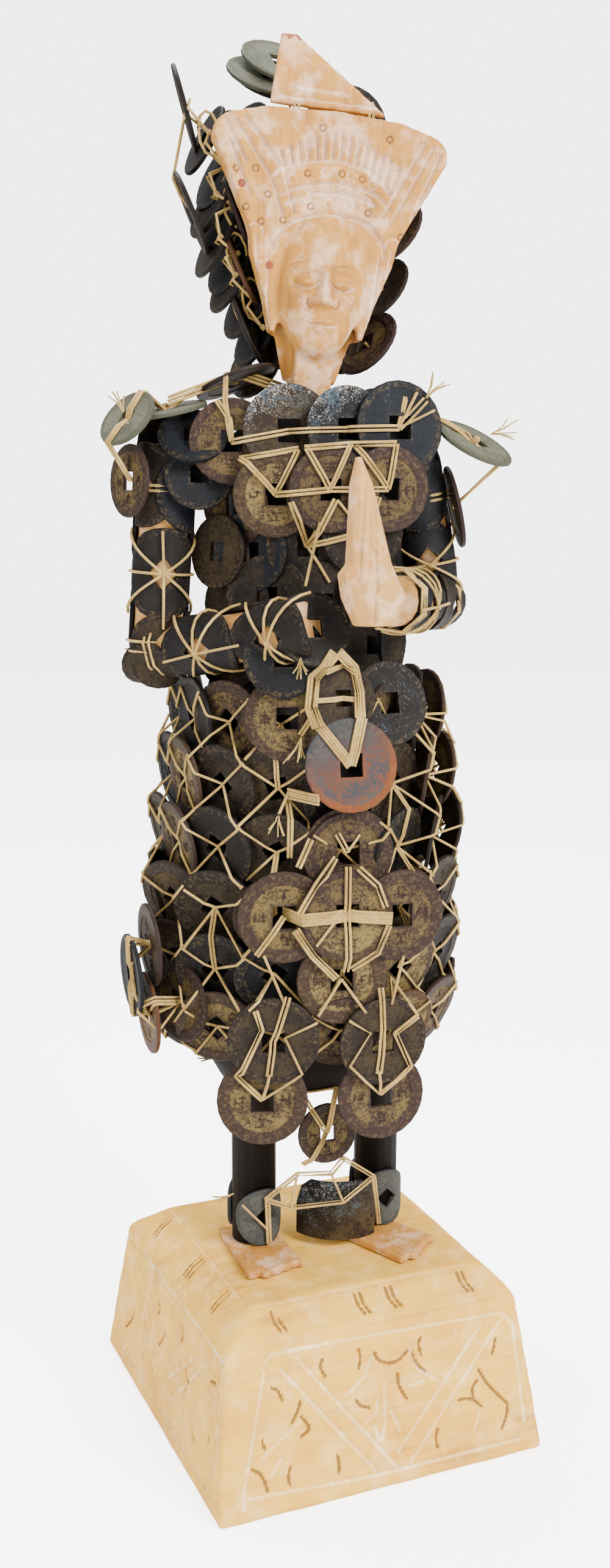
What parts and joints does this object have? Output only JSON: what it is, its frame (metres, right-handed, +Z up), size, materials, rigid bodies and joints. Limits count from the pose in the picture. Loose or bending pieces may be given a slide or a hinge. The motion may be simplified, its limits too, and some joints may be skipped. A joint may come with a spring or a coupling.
{
  "type": "carved wooden figure dressed in coins",
  "caption": "Standing praying figure with a carved wooden head, arms, feet and plinth, its body dressed in square-holed coins laced together with straw string.",
  "frame": {"origin": "middle of the plinth's underside", "axes": "+Z up; the plinth's front faces -Y, and the figure on it is turned 13 degrees towards -X; +X to the viewer's right"},
  "size_m": [0.1203, 0.1144, 0.4291],
  "materials": {
    "pale_wood": "bare carved wood with worn pale wash",
    "dark_wood": "rough dark wood behind the coins",
    "dark_coin": "old dark bronze, worn rims",
    "brass_coin": "old brown brass, worn",
    "green_coin": "corroded grey-green bronze"
  },
  "bodies": {
    "root": {"apron_left_coin": "brass_coin", "apron_lower_coin": "brass_coin", "apron_middle_coin": "brass_coin", "apron_right_coin": "green_coin", "apron_upper_coin": "brass_coin", "back_coins": "dark_coin", "bent_ankle_coin": "green_coin", "body": "dark_wood", "chest_coin_1": "brass_coin", "chest_coin_2": "brass_coin", "chest_coin_3": "brass_coin", "collar_coin_1": "brass_coin", "collar_coin_2": "green_coin", "collar_coin_3": "green_coin", "collar_coin_4": "dark_coin", "crown_plate": "pale_wood", "crown_top_coin_1": "green_coin", "crown_top_coin_2": "green_coin", "hands": "pale_wood", "hanging_coin": "brass_coin", "head": "pale_wood", "hip_back_coin": "dark_coin", "hip_front_coin": "dark_coin", "hip_lower_coin": "dark_coin", "hip_upper_coin": "dark_coin", "hood_coins": "dark_coin", "hood_side_coin_1": "green_coin", "hood_side_coin_2": "green_coin", "left_ankle_coin_1": "green_coin", "left_ankle_coin_2": "green_coin", "left_arm": "pale_wood", "left_collar_coin": "green_coin", "left_foot": "pale_wood", "left_knee_lower_coin": "brass_coin", "left_knee_upper_coin": "dark_coin", "left_shoulder_coin_1": "green_coin", "left_shoulder_coin_2": "green_coin", "left_shoulder_coin_3": "green_coin", "left_waist_coin": "green_coin", "middle_waist_coin": "dark_coin", "midriff_coin_1": "dark_coin", "midriff_coin_2": "dark_coin", "plinth": "pale_wood", "right_ankle_coin_1": "green_coin", "right_ankle_coin_2": "green_coin", "right_arm": "pale_wood", "right_collar_coin": "green_coin", "right_foot": "pale_wood", "right_knee_lower_coin": "brass_coin", "right_knee_upper_coin": "dark_coin", "right_shoulder_coin_1": "green_coin", "right_shoulder_coin_2": "green_coin", "right_shoulder_coin_3": "green_coin", "right_waist_coin": "dark_coin", "shin_coin": "brass_coin", "skirt_coins": "dark_coin"}
  },
  "joints": []
}
